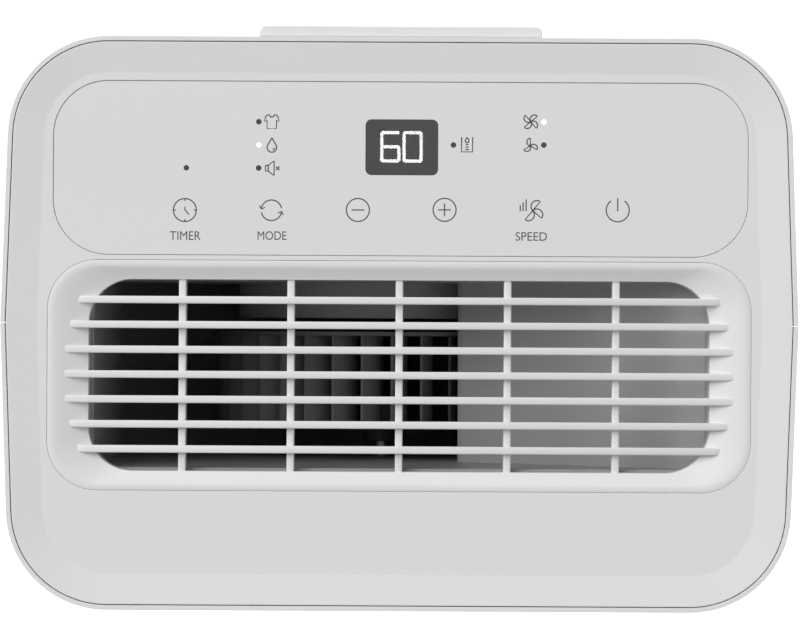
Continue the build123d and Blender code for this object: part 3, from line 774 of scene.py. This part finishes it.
def strokes_of(icon: Icon) -> List[Stroke]:
    """Centre lines of one mark, in millimetres about its own centre."""
    key = arc(0, 0, KEY_RING, 0, 360, 64)
    level = [(-2.7, 0), (2.7, 0)]
    if icon is Icon.SHIRT:
        half = [(1.0, 3.0), (1.9, 2.9), (2.6, 2.2), (3.1, 0.3), (2.0, 0.3), (2.0, 0.9), (2.0, -2.9)]
        collar = arc(0, 3.0, 1.0, 190, 350, 8)
        return [collar + half + [(-x, y) for x, y in reversed(half)] + collar[:1]]
    if icon is Icon.DROP:
        body = [(0, 3.2), (0.9, 1.6)] + arc(0, -0.9, 2.05, 22, -202, 22) + [(-0.9, 1.6), (0, 3.2)]
        return [body, arc(0, -0.9, 1.15, -75, -10, 6)]
    if icon is Icon.MUTE:
        horn = [(-2.8, 1.2), (-1.6, 1.2), (0.7, 3.0), (0.9, 2.8), (0.9, -2.8), (0.7, -3.0), (-1.6, -1.2),
                (-2.8, -1.2), (-2.8, 1.2)]
        return [horn, [(-1.6, 1.2), (-1.6, -1.2)], [(1.7, 0.75), (3.2, -0.75)], [(1.7, -0.75), (3.2, 0.75)]]
    if icon is Icon.TANK:
        drop = [(0, 3.1)] + arc(0, 1.65, 0.8, 30, -210, 14) + [(0, 3.1)]
        return [[(-2.35, 3.2), (-2.35, -3.1), (2.35, -3.1), (2.35, 3.2)], drop,
                [(-0.6, 0.05), (0.6, 0.05)], [(-0.6, -1.0), (0.6, -1.0)], [(-0.8, -2.1), (0.8, -2.1)]]
    if icon is Icon.FAN_HIGH:
        return fan_marks(4, 3.55, turn=40)
    if icon is Icon.FAN_LOW:
        return fan_marks(3, 3.2, turn=90)
    if icon is Icon.CLOCK:
        ticks = [[(4.8 * c, 4.8 * d), (3.9 * c, 3.9 * d)] for c, d in ((1, 0), (0, 1), (-1, 0), (0, -1))]
        return [arc(0, 0, 4.88, 0, 360, 64), [(0, 1.35), (0, 0.1), (1.7, -1.85)]] + ticks
    if icon is Icon.SWAP:
        return [arc(0, 0, 4.38, 12, 174, 24), [(-5.1, 2.0), (-4.3, 0.5), (-2.8, 1.2)],
                arc(0, 0, 4.38, 192, 354, 24), [(2.8, -1.2), (4.3, -0.5), (5.1, -2.0)]]
    if icon is Icon.MINUS:
        return [key, level]
    if icon is Icon.PLUS:
        return [key, level, [(0, -2.7), (0, 2.7)]]
    if icon is Icon.SPEED:
        bars = [[(x, -0.4), (x, top)] for x, top in ((-4.8, 2.1), (-3.6, 3.3), (-2.3, 4.6))]
        return bars + fan_marks(4, KEY_RING, 0.5, -0.2, turn=50, skip=1)
    return [arc(0, 0, KEY_RING, 126, 414, 48), [(0, 5.2), (0, -0.35)]]


@dataclass
class ControlPanel:
    """Control panel: printed marks, key names, window, digits and lights."""

    top: float = 498.35
    line: float = 0.27
    letter: float = 3.7
    marks: Tuple[Tuple[Icon, float, float, float], ...] = (
        (Icon.SHIRT, -54.8, 83.5, 1.0), (Icon.DROP, -54.7, 73.5, 1.0), (Icon.MUTE, -54.6, 63.7, 1.0),
        (Icon.TANK, 28.5, 74.2, 1.0), (Icon.FAN_HIGH, 55.6, 84.1, 1.0), (Icon.FAN_LOW, 55.5, 73.8, 1.0),
        (Icon.CLOCK, -91.65, 45.7, 1.0), (Icon.SWAP, -54.75, 45.8, 1.0), (Icon.MINUS, -17.9, 46.1, 1.0),
        (Icon.PLUS, 19.05, 46.35, 1.0), (Icon.SPEED, 56.1, 46.4, 1.0), (Icon.POWER, 92.85, 46.55, 1.0))
    names: Tuple[Tuple[str, float, float, float], ...] = (
        ("TIMER", -91.45, 34.8, 13.1), ("MODE", -54.45, 35.0, 12.3), ("SPEED", 56.05, 35.2, 13.4))

    def build(self) -> None:
        """Print the marks and key names and dress the panel's nodes."""
        self.print_marks()
        self.print_names()
        for node, key in (("control_panel", "panel"), ("display_window", "lens"), ("digit_display", "dark"),
                          ("lit_segments", "glow"), ("light_guides", "guide"), ("display_board", "pcb"),
                          ("touch_springs", "spring")):
            dress(FRAME["nodes"][node], key)

    def flatten(self, obj: bpy.types.Object) -> None:
        """Press a printed piece down to a thin film on the panel."""
        for v in obj.data.vertices:
            v.co.z = min(v.co.z, (self.top + 0.05) * MM)

    def print_marks(self) -> None:
        """Follow every stroke of the marks with a fine line of ink."""
        points: List[Point] = []
        edges: List[Tuple[int, int]] = []
        for icon, cx, cy, scale in self.marks:
            for stroke in strokes_of(icon):
                first = len(points)
                points += [((cx + x * scale) * MM, (cy + y * scale) * MM, self.top * MM) for x, y in stroke]
                edges += [(first + k, first + k + 1) for k in range(len(stroke) - 1)]
        g = Geometry("printed_marks", {"Line": self.line * MM})
        path = g.add("GeometryNodeMeshToCurve", {}, {0: g.source.outputs[0]})
        ring = g.add("GeometryNodeCurvePrimitiveCircle", {}, {"Resolution": 6, "Radius": g.size("Line")})
        tube = g.add("GeometryNodeCurveToMesh", {}, {
            0: path.outputs[0], 1: ring.outputs[0], "Fill Caps": True})
        obj = g.bake(carrier("strokes", points, edges), tube.outputs[0], finish("ink"))
        self.flatten(obj)
        add_piece(obj, Body.CABINET)

    def print_names(self) -> None:
        """Set the key names in plain capitals."""
        made = []
        for word, cx, cy, width in self.names:
            curve = bpy.data.curves.new(word.lower(), "FONT")
            curve.body = word
            curve.size = self.letter * 1.38 * MM
            curve.align_x = "CENTER"
            curve.align_y = "CENTER"
            curve.extrude = 0.03 * MM
            holder = linked(word.lower(), curve)
            bpy.context.view_layer.update()
            graph = bpy.context.evaluated_depsgraph_get()
            mesh = bpy.data.meshes.new_from_object(holder.evaluated_get(graph))
            bpy.data.objects.remove(holder)
            xs = [v.co.x for v in mesh.vertices]
            ys = [v.co.y for v in mesh.vertices]
            fit_x = width * MM / (max(xs) - min(xs))
            fit_y = self.letter * MM / (max(ys) - min(ys))
            for v in mesh.vertices:
                v.co.x = (v.co.x - (max(xs) + min(xs)) / 2) * fit_x + cx * MM
                v.co.y = (v.co.y - (max(ys) + min(ys)) / 2) * fit_y + cy * MM
                v.co.z = v.co.z + self.top * MM
            made.append(linked("name", mesh))
        names = joined("key_names", made)
        dress(names, "ink")
        add_piece(names, Body.CABINET)


@dataclass
class OutletGrille:
    """Air outlet: a dish that rolls into the throat, seven long bars and five cross bars below them."""

    width: float = 299.98
    depth: float = 98.18
    centre_y: float = -24.7
    top: float = 498.5
    bottom: float = 487.5
    lip: float = 2.4
    inset: Tuple[float, float] = (14.8, 5.7)
    drop: Tuple[float, float] = (3.9, 1.5)
    power: Tuple[float, float] = (1.3, 1.15)
    bar_top: float = 497.9
    pitch: float = 10.62
    bar: float = 3.15
    cross_pitch: float = 46.3
    cross: float = 3.2
    steps: int = 12
    crease: float = 50.0
    reaches: Tuple[Tuple[float, float], ...] = ((145.0, 0.6), (144.8, 0.7), (141.2, 1.1), (137.4, 1.7))
    tip: float = 5.0
    bar_tall: float = 4.2
    cross_reach: float = 41.2
    edge: float = 0.55
    end_from: float = 96.0
    end_over: float = 40.0

    def ring(self, dx: float, dy: float, z: float, radius: float) -> List[Point]:
        """One level outline of the dish, inset from its lip."""
        spots = rounded(self.width - 2 * dx, self.depth - 2 * dy, radius, 0.0, self.centre_y, 20)
        return [(x, y, z) for x, y in spots]

    def slope(self, t: float) -> List[Point]:
        """Outline part of the way down the dish, deeper at the two ends than along the sides.

        Args:
            t: zero at the lip, one at the throat.

        Returns:
            The outline's points.
        """
        flat = self.ring(self.lip + self.inset[0] * t, self.lip + self.inset[1] * t, 0.0, 18.8)
        spots = []
        for x, y, _ in flat:
            end = min(max((abs(x) - self.end_from) / self.end_over, 0.0), 1.0)
            end = end * end * (3 - 2 * end)
            fall = self.drop[0] * t ** self.power[0] * end + self.drop[1] * t ** self.power[1] * (1 - end)
            spots.append((x, y, self.top - fall))
        return spots

    def build(self) -> None:
        """Make the dish and both sets of bars as one piece."""
        rings = [self.ring(0.0, 0.0, self.bottom, 21.0), self.ring(0.0, 0.0, self.top - 0.3, 21.0),
                 self.ring(0.08, 0.08, self.top - 0.08, 20.9), self.ring(0.3, 0.3, self.top, 20.7)]
        rings += [self.slope(k / self.steps) for k in range(self.steps + 1)]
        rings.append([(x, y, z - 0.5) for x, y, z in self.slope(1.015)])
        rings.append([(x, y, self.bottom) for x, y, _ in self.slope(1.015)])
        dish = shell_from_rings("dish", rings, closed=True, sharp=self.crease)
        grille = joined("outlet_grille_fine", [dish, self.bars()])
        smooth(grille.data, self.crease)
        dress(grille, "grille")
        add_piece(grille, Body.CABINET, ["outlet_grille"])

    def bars(self) -> bpy.types.Object:
        """Seven long bars over five lower cross bars."""
        runs = []
        for k in range(-3, 4):
            reach, dip = self.reaches[abs(k)]
            y = self.centre_y + 0.3 + k * self.pitch
            z = self.bar_top - self.bar_tall / 2
            runs.append(((-reach, y, z - dip), (-reach + self.tip, y, z), (reach - self.tip, y, z),
                         (reach, y, z - dip)))
        long_bars = self.sweep("long_bars", runs, self.bar, self.bar_tall)
        runs = []
        tall = self.bar_top - 2.7 - self.bottom - 0.5
        for k in range(-2, 3):
            x = k * self.cross_pitch
            z = self.bottom + 0.5 + tall / 2
            runs.append(((x, self.centre_y - self.cross_reach, z), (x, self.centre_y + self.cross_reach, z)))
        cross_bars = self.sweep("cross_bars", runs, self.cross, tall)
        return joined("bars", [long_bars, cross_bars])

    def sweep(self, name: str, runs: Sequence[Sequence[Point]], wide: float, tall: float) -> bpy.types.Object:
        """Sweep a rounded section along runs of points.

        Args:
            name: name of the tree and its result.
            runs: points of each bar in millimetres, as many on each.
            wide: section width.
            tall: section height.

        Returns:
            The baked bars.
        """
        points = [tuple(c * MM for c in p) for run in runs for p in run]
        count = len(runs[0])
        edges = [(count * k + j, count * k + j + 1) for k in range(len(runs)) for j in range(count - 1)]
        g = Geometry(name, {"Wide": wide * MM, "Tall": tall * MM, "Round": self.edge * MM}, {"Steps": 3})
        path = g.add("GeometryNodeMeshToCurve", {}, {0: g.source.outputs[0]})
        frame = g.add("GeometryNodeCurvePrimitiveQuadrilateral", {}, {
            "Width": g.size("Wide"), "Height": g.size("Tall")})
        soft = g.add("GeometryNodeFilletCurve", {"mode": "POLY"}, {0: frame.outputs[0]})
        for socket in soft.inputs:
            if socket.name == "Radius":
                g.tree.links.new(g.size("Round"), socket)
            if socket.name == "Count":
                g.tree.links.new(g.size("Steps"), socket)
        tube = g.add("GeometryNodeCurveToMesh", {}, {
            0: path.outputs[0], 1: soft.outputs[0], "Fill Caps": True})
        return g.bake(carrier(name + "_runs", points, edges), tube.outputs[0], finish("grille"))


@dataclass
class Casing:
    """Casing halves, top cover, rear door, handle, tank and base."""

    soft: Tuple[Soft, ...] = (
        Soft("front_casing", "casing", 0.2), Soft("rear_casing", "casing", 0.2),
        Soft("top_cover", "cover", 0.15, angle=5.0),
        Soft("carry_handle", "casing", 0.7, Body.HANDLE, segments=3),
        Soft("intake_grille", "casing", 0.4, Body.INTAKE), Soft("filter_frame", "white", 0.3, Body.INTAKE),
        Soft("tank_front", "casing", 0.45, Body.TANK), Soft("tank", "tank", 0.4, Body.TANK),
        Soft("tank_lid", "white", 0.4, Body.TANK), Soft("level_window", "clear", 0.3, Body.TANK),
        Soft("base_pan", "grey", 0.5), Soft("bay_partition", "grey", 0.4), Soft("drain_tray", "white", 0.4),
        Soft("drain_spigot", "white", 0.25), Soft("cord_gland", "rubber", 0.3))
    nodes: Tuple[Tuple[str, str], ...] = (
        ("filter_mesh", "mesh"), ("float_arm", "foam"), ("float_magnet", "core"), ("drain_plug", "rubber"),
        ("tank_sensor", "dark"), ("humidity_sensor", "white"))
    screw_y: float = 118.35
    screw_spots: Tuple[Tuple[float, float], ...] = (
        (-106, 452), (106, 452), (-116, 222), (116, 222), (-16, 62), (16, 62))

    def build(self) -> None:
        """Round the mouldings, dress the rest and drive the screws."""
        for piece in self.soft:
            piece.build()
        for node, key in self.nodes:
            dress(FRAME["nodes"][node], key)
        self.screws()

    def screws(self) -> None:
        """Pan-head screws with a cross recess, one on each spot."""
        g = Geometry("casing_screws_fine", {
            "Head": 4.2 * MM, "Thick": 2.0 * MM, "Shank": 1.85 * MM, "Length": 16.35 * MM}, {"Turn": 48})
        head = g.add("GeometryNodeMeshCylinder", {}, {
            "Vertices": g.size("Turn"), "Radius": g.size("Head"), "Depth": g.size("Thick")})
        recess = []
        for size in ((4.6, 0.95, 1.4), (0.95, 4.6, 1.4)):
            box = g.add("GeometryNodeMeshCube", {}, {"Size": tuple(c * MM for c in size)})
            lift = g.add("GeometryNodeTransform", {}, {0: box.outputs[0], "Translation": (0, 0, 0.5 * MM)})
            recess.append(lift.outputs[0])
        cut = g.add("GeometryNodeMeshBoolean", {"operation": "DIFFERENCE"}, {0: head.outputs[0]})
        for socket in recess:
            g.tree.links.new(socket, cut.inputs[1])
        shank = g.add("GeometryNodeMeshCylinder", {}, {
            "Vertices": g.size("Turn"), "Radius": g.size("Shank"), "Depth": g.size("Length")})
        low = g.add("GeometryNodeTransform", {}, {0: shank.outputs[0], "Translation": (0, 0, -9.1 * MM)})
        both = g.add("GeometryNodeJoinGeometry", {}, {0: cut.outputs[0]})
        g.tree.links.new(low.outputs[0], both.inputs[0])
        laid = g.add("GeometryNodeTransform", {}, {0: both.outputs[0], "Rotation": (-math.pi / 2, 0, 0)})
        placed = g.add("GeometryNodeInstanceOnPoints", {}, {
            "Points": g.source.outputs[0], "Instance": laid.outputs[0]})
        spots = [(x * MM, self.screw_y * MM, z * MM) for x, z in self.screw_spots]
        obj = g.bake(carrier("screw_spots", spots), placed.outputs[0], finish("zinc"))
        bevel(obj, 0.25, 2)
        add_piece(obj, Body.CABINET, ["casing_screws"])


@dataclass
class Blower:
    """Scroll halves, motor, shaft and the wheel with its forward-curved blades."""

    centre: Tuple[float, float] = (-8.0, 335.0)
    blades: int = 36
    bow: Tuple[Tuple[float, float], ...] = (
        (66.0, 0.0), (68.0, 0.4), (70.0, 1.0), (72.0, 1.9), (74.0, 3.2), (76.0, 4.9), (77.5, 6.5))
    half_thick: float = 0.55
    span: Tuple[float, float] = (-49.0, -7.0)
    rim: Tuple[Tuple[float, float], ...] = (
        (75.2, -8.0), (79.7, -8.0), (80.0, -7.7), (80.0, -6.3), (79.7, -6.0), (75.2, -6.0), (75.0, -6.3),
        (75.0, -7.7))
    hub: Tuple[Tuple[float, float], ...] = (
        (4.1, -58.0), (8.5, -58.0), (9.0, -57.5), (9.0, -50.4), (9.6, -50.0), (79.6, -50.0), (80.0, -49.6),
        (80.0, -48.4), (79.6, -48.0), (9.6, -48.0), (9.0, -47.6), (9.0, -38.5), (8.5, -38.0), (4.1, -38.0))

    def build(self) -> None:
        """Round the mouldings, make the wheel and dress the shaft."""
        for piece in (Soft("scroll_front", "duct", 0.3), Soft("scroll_rear", "duct", 0.3),
                      Soft("fan_motor", "zinc", 0.8, slot="steel", segments=3)):
            piece.build()
        dress(FRAME["nodes"]["fan_shaft"], "steel")
        self.wheel()

    def blade(self) -> bpy.types.Object:
        """One blade about the wheel's axis, in millimetres."""
        outline = []
        for side, bow in ((-self.half_thick, self.bow), (self.half_thick, self.bow[::-1])):
            for r, lead in bow:
                t = math.radians(lead) + side / r
                outline.append((r * math.cos(t), r * math.sin(t)))
        rings = [[(x, y, z) for x, z in outline] for y in self.span]
        return shell_from_rings("blade", rings, sharp=TURNED_CREASE)

    def wheel(self) -> None:
        """Ring, back plate and hub turned, and the blades set round the axis."""
        blade = self.blade()
        g = Geometry("wheel_blades", {"Step": 2 * math.pi / self.blades}, {"Blades": self.blades})
        line = g.add("GeometryNodeMeshLine", {}, {"Count": g.size("Blades"), "Offset": (0, 0, 0)})
        index = g.add("GeometryNodeInputIndex", {}, {})
        turn = g.add("ShaderNodeMath", {"operation": "MULTIPLY"}, {0: index.outputs[0], 1: g.size("Step")})
        spin = g.add("ShaderNodeCombineXYZ", {}, {"Y": turn.outputs[0]})
        placed = g.add("GeometryNodeInstanceOnPoints", {}, {
            "Points": line.outputs[0], "Instance": g.source.outputs[0], "Rotation": spin.outputs[0]})
        moved = g.add("GeometryNodeTransform", {}, {
            0: placed.outputs[0], "Translation": (self.centre[0] * MM, 0, self.centre[1] * MM)})
        blades = g.bake(blade, moved.outputs[0], finish("inner"))
        ring = lathe("ring", self.rim, *self.centre)
        plate = lathe("plate", self.hub, *self.centre)
        wheel = joined("blower_wheel_fine", [blades, ring, plate])
        smooth(wheel.data, TURNED_CREASE)
        dress(wheel, "inner")
        add_piece(wheel, Body.BLOWER, ["blower_wheel"])


@dataclass
class Cooling:
    """Coils, compressor and pipes."""

    soft: Tuple[Soft, ...] = (
        Soft("coil_frame", "zinc", 0.3, slot="steel"), Soft("compressor_shell", "enamel", 0.5, slot="dark"),
        Soft("accumulator", "enamel", 0.4, slot="dark"), Soft("control_box", "grey", 0.8, slot="dark"))
    nodes: Tuple[Tuple[str, str], ...] = (
        ("evaporator_tube", "copper"), ("condenser_tube", "copper"), ("compressor_stator", "core"),
        ("compressor_pump", "core"), ("compressor_rotor", "steel"), ("compressor_grommets", "rubber"),
        ("suction_pipe", "copper"), ("discharge_pipe", "copper"), ("capillary_tube", "copper"),
        ("filter_drier", "copper"), ("main_board", "pcb"))
    coils: Tuple[Tuple[str, float, float], ...] = (("evaporator", 75.0, 32.0), ("condenser", 36.0, 28.0))
    fin_count: int = 45
    fin_pitch: float = 5.0
    fin_tall: float = 194.0
    fin_thin: float = 0.2
    wave: float = 0.13
    wave_pitch: float = 4.0
    first_x: float = -110.0
    middle_z: float = 346.0

    def build(self) -> None:
        """Round the pressings, dress the pipes and stack the fins."""
        for piece in self.soft:
            piece.build()
        for node, key in self.nodes:
            dress(FRAME["nodes"][node], key)
        for name, y, deep in self.coils:
            self.fins(name, y, deep)

    def fins(self, name: str, y: float, deep: float) -> None:
        """Stack of corrugated fins along X.

        Args:
            name: coil name.
            y: middle of the coil.
            deep: fin depth in millimetres.
        """
        g = Geometry(f"{name}_fins_fine", {
            "Deep": deep * MM, "Tall": self.fin_tall * MM, "Thin": self.fin_thin * MM, "Wave": self.wave * MM,
            "Ripple": 2 * math.pi / (self.wave_pitch * MM)}, {"Fins": self.fin_count, "Steps": 33})
        size = g.add("ShaderNodeCombineXYZ", {}, {
            "X": g.size("Deep"), "Y": g.size("Tall"), "Z": g.size("Thin")})
        plate = g.add("GeometryNodeMeshCube", {}, {"Size": size.outputs[0], "Vertices X": g.size("Steps")})
        where = g.add("GeometryNodeInputPosition", {}, {})
        split = g.add("ShaderNodeSeparateXYZ", {}, {0: where.outputs[0]})
        phase = g.add("ShaderNodeMath", {"operation": "MULTIPLY"}, {0: split.outputs[0], 1: g.size("Ripple")})
        wave = g.add("ShaderNodeMath", {"operation": "SINE"}, {0: phase.outputs[0]})
        rise = g.add("ShaderNodeMath", {"operation": "MULTIPLY"}, {0: wave.outputs[0], 1: g.size("Wave")})
        shift = g.add("ShaderNodeCombineXYZ", {}, {"Z": rise.outputs[0]})
        rippled = g.add("GeometryNodeSetPosition", {}, {0: plate.outputs[0], "Offset": shift.outputs[0]})
        stood = g.add("GeometryNodeTransform", {}, {
            0: rippled.outputs[0], "Rotation": (math.pi / 2, 0, math.pi / 2)})
        line = g.add("GeometryNodeMeshLine", {}, {
            "Count": g.size("Fins"), "Start Location": (self.first_x * MM, y * MM, self.middle_z * MM),
            "Offset": (self.fin_pitch * MM, 0, 0)})
        placed = g.add("GeometryNodeInstanceOnPoints", {}, {
            "Points": line.outputs[0], "Instance": stood.outputs[0]})
        obj = g.bake(carrier("fin_start"), placed.outputs[0], finish("fins"))
        add_piece(obj, Body.CABINET, [f"{name}_fins"])


@dataclass
class Castors:
    """Four twin-wheel castors."""

    tags: Tuple[str, ...] = ("fl", "fr", "rl", "rr")
    segments: int = 3
    angle: float = 50.0

    def build(self) -> None:
        """Round the castor bodies and the shoulders of the wheels."""
        for tag in self.tags:
            for node, key, width, ride in (("castor_body", "dark", 0.5, f"castor_{tag}"),
                                           ("castor_wheels", "tread", 1.0, f"wheels_{tag}")):
                name = f"{node}_{tag}"
                obj = Soft(name, key, width, segments=self.segments, angle=self.angle).merged()
                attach(obj, ride)
                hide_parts(name)


@dataclass
class Studio:
    """Pale floor, soft light and the camera straight above."""

    lens: float = 150.0
    sensor: float = 36.0
    view_width: float = 340.6
    rim: float = 500.0
    aim: Tuple[float, float] = (0.3, -0.7)
    turn: float = 0.3
    sky: float = 0.35
    glow: float = 0.85
    towards: Point = (-0.52, 0.52, 0.68)
    spread: float = 0.9
    power: float = 2.35
    unlit: Optional[bpy.types.Collection] = None

    def build(self) -> None:
        """Set floor, light and camera."""
        scene = bpy.context.scene
        scene.view_settings.view_transform = "Standard"
        scene.view_settings.look = "None"
        world = bpy.data.worlds.new("studio")
        world.use_nodes = True
        world.node_tree.nodes["Background"].inputs[0].default_value = (1, 1, 1, 1)
        world.node_tree.nodes["Background"].inputs[1].default_value = self.sky
        scene.world = world
        self.floor()
        self.sun("key")
        camera = bpy.data.cameras.new("camera")
        camera.lens = self.lens
        camera.sensor_width = self.sensor
        camera.clip_end = 20.0
        holder = bpy.data.objects.new("camera", camera)
        holder.location = (self.aim[0] * MM, self.aim[1] * MM,
                           (self.rim + self.lens / self.sensor * self.view_width) * MM)
        holder.rotation_euler = (0.0, 0.0, math.radians(self.turn))
        scene.collection.objects.link(holder)
        scene.camera = holder

    def floor(self) -> None:
        """Broad pale floor, lit by its own finish so that no shadow falls on it."""
        mesh = bpy.data.meshes.new("floor")
        mesh.from_pydata([(-6, -6, 0), (6, -6, 0), (6, 6, 0), (-6, 6, 0)], [], [(0, 1, 2, 3)])
        obj = bpy.data.objects.new("floor", mesh)
        bpy.context.scene.collection.objects.link(obj)
        n = Nodes("pale floor")
        cloud = n.noise(3.0, 2.0)
        n.surface(Base_Color=n.mix(cloud, (0.93, 0.93, 0.93, 1), (0.95, 0.95, 0.95, 1)), Roughness=0.8,
                  Emission_Color=(1, 1, 1, 1), Emission_Strength=self.glow)
        obj.data.materials.append(n.material)
        self.unlit = bpy.data.collections.new("left out of the key light")
        self.unlit.objects.link(obj)
        self.unlit.collection_objects[0].light_linking.link_state = "EXCLUDE"

    def sun(self, name: str) -> None:
        """Add the broad, soft distant light, which falls on everything but the floor."""
        light = bpy.data.lights.new(name, "SUN")
        light.angle = self.spread
        light.energy = self.power
        obj = bpy.data.objects.new(name, light)
        obj.location = Vector(self.towards) * 3.0
        obj.light_linking.receiver_collection = self.unlit
        obj.rotation_euler = (-Vector(self.towards)).to_track_quat("-Z", "Y").to_euler()
        bpy.context.scene.collection.objects.link(obj)


FRAME: Dict[str, Any] = {}


def main() -> None:
    """Build every sub-assembly in order, then the studio."""
    logging.basicConfig(level=logging.INFO)
    FRAME.update(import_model())
    for part in (Studio(), Casing(), OutletGrille(), ControlPanel(), Blower(), Cooling(), Castors()):
        part.build()
        log.info("built %s", type(part).__name__)
    bpy.context.view_layer.update()


if __name__ == "__main__":
    main()
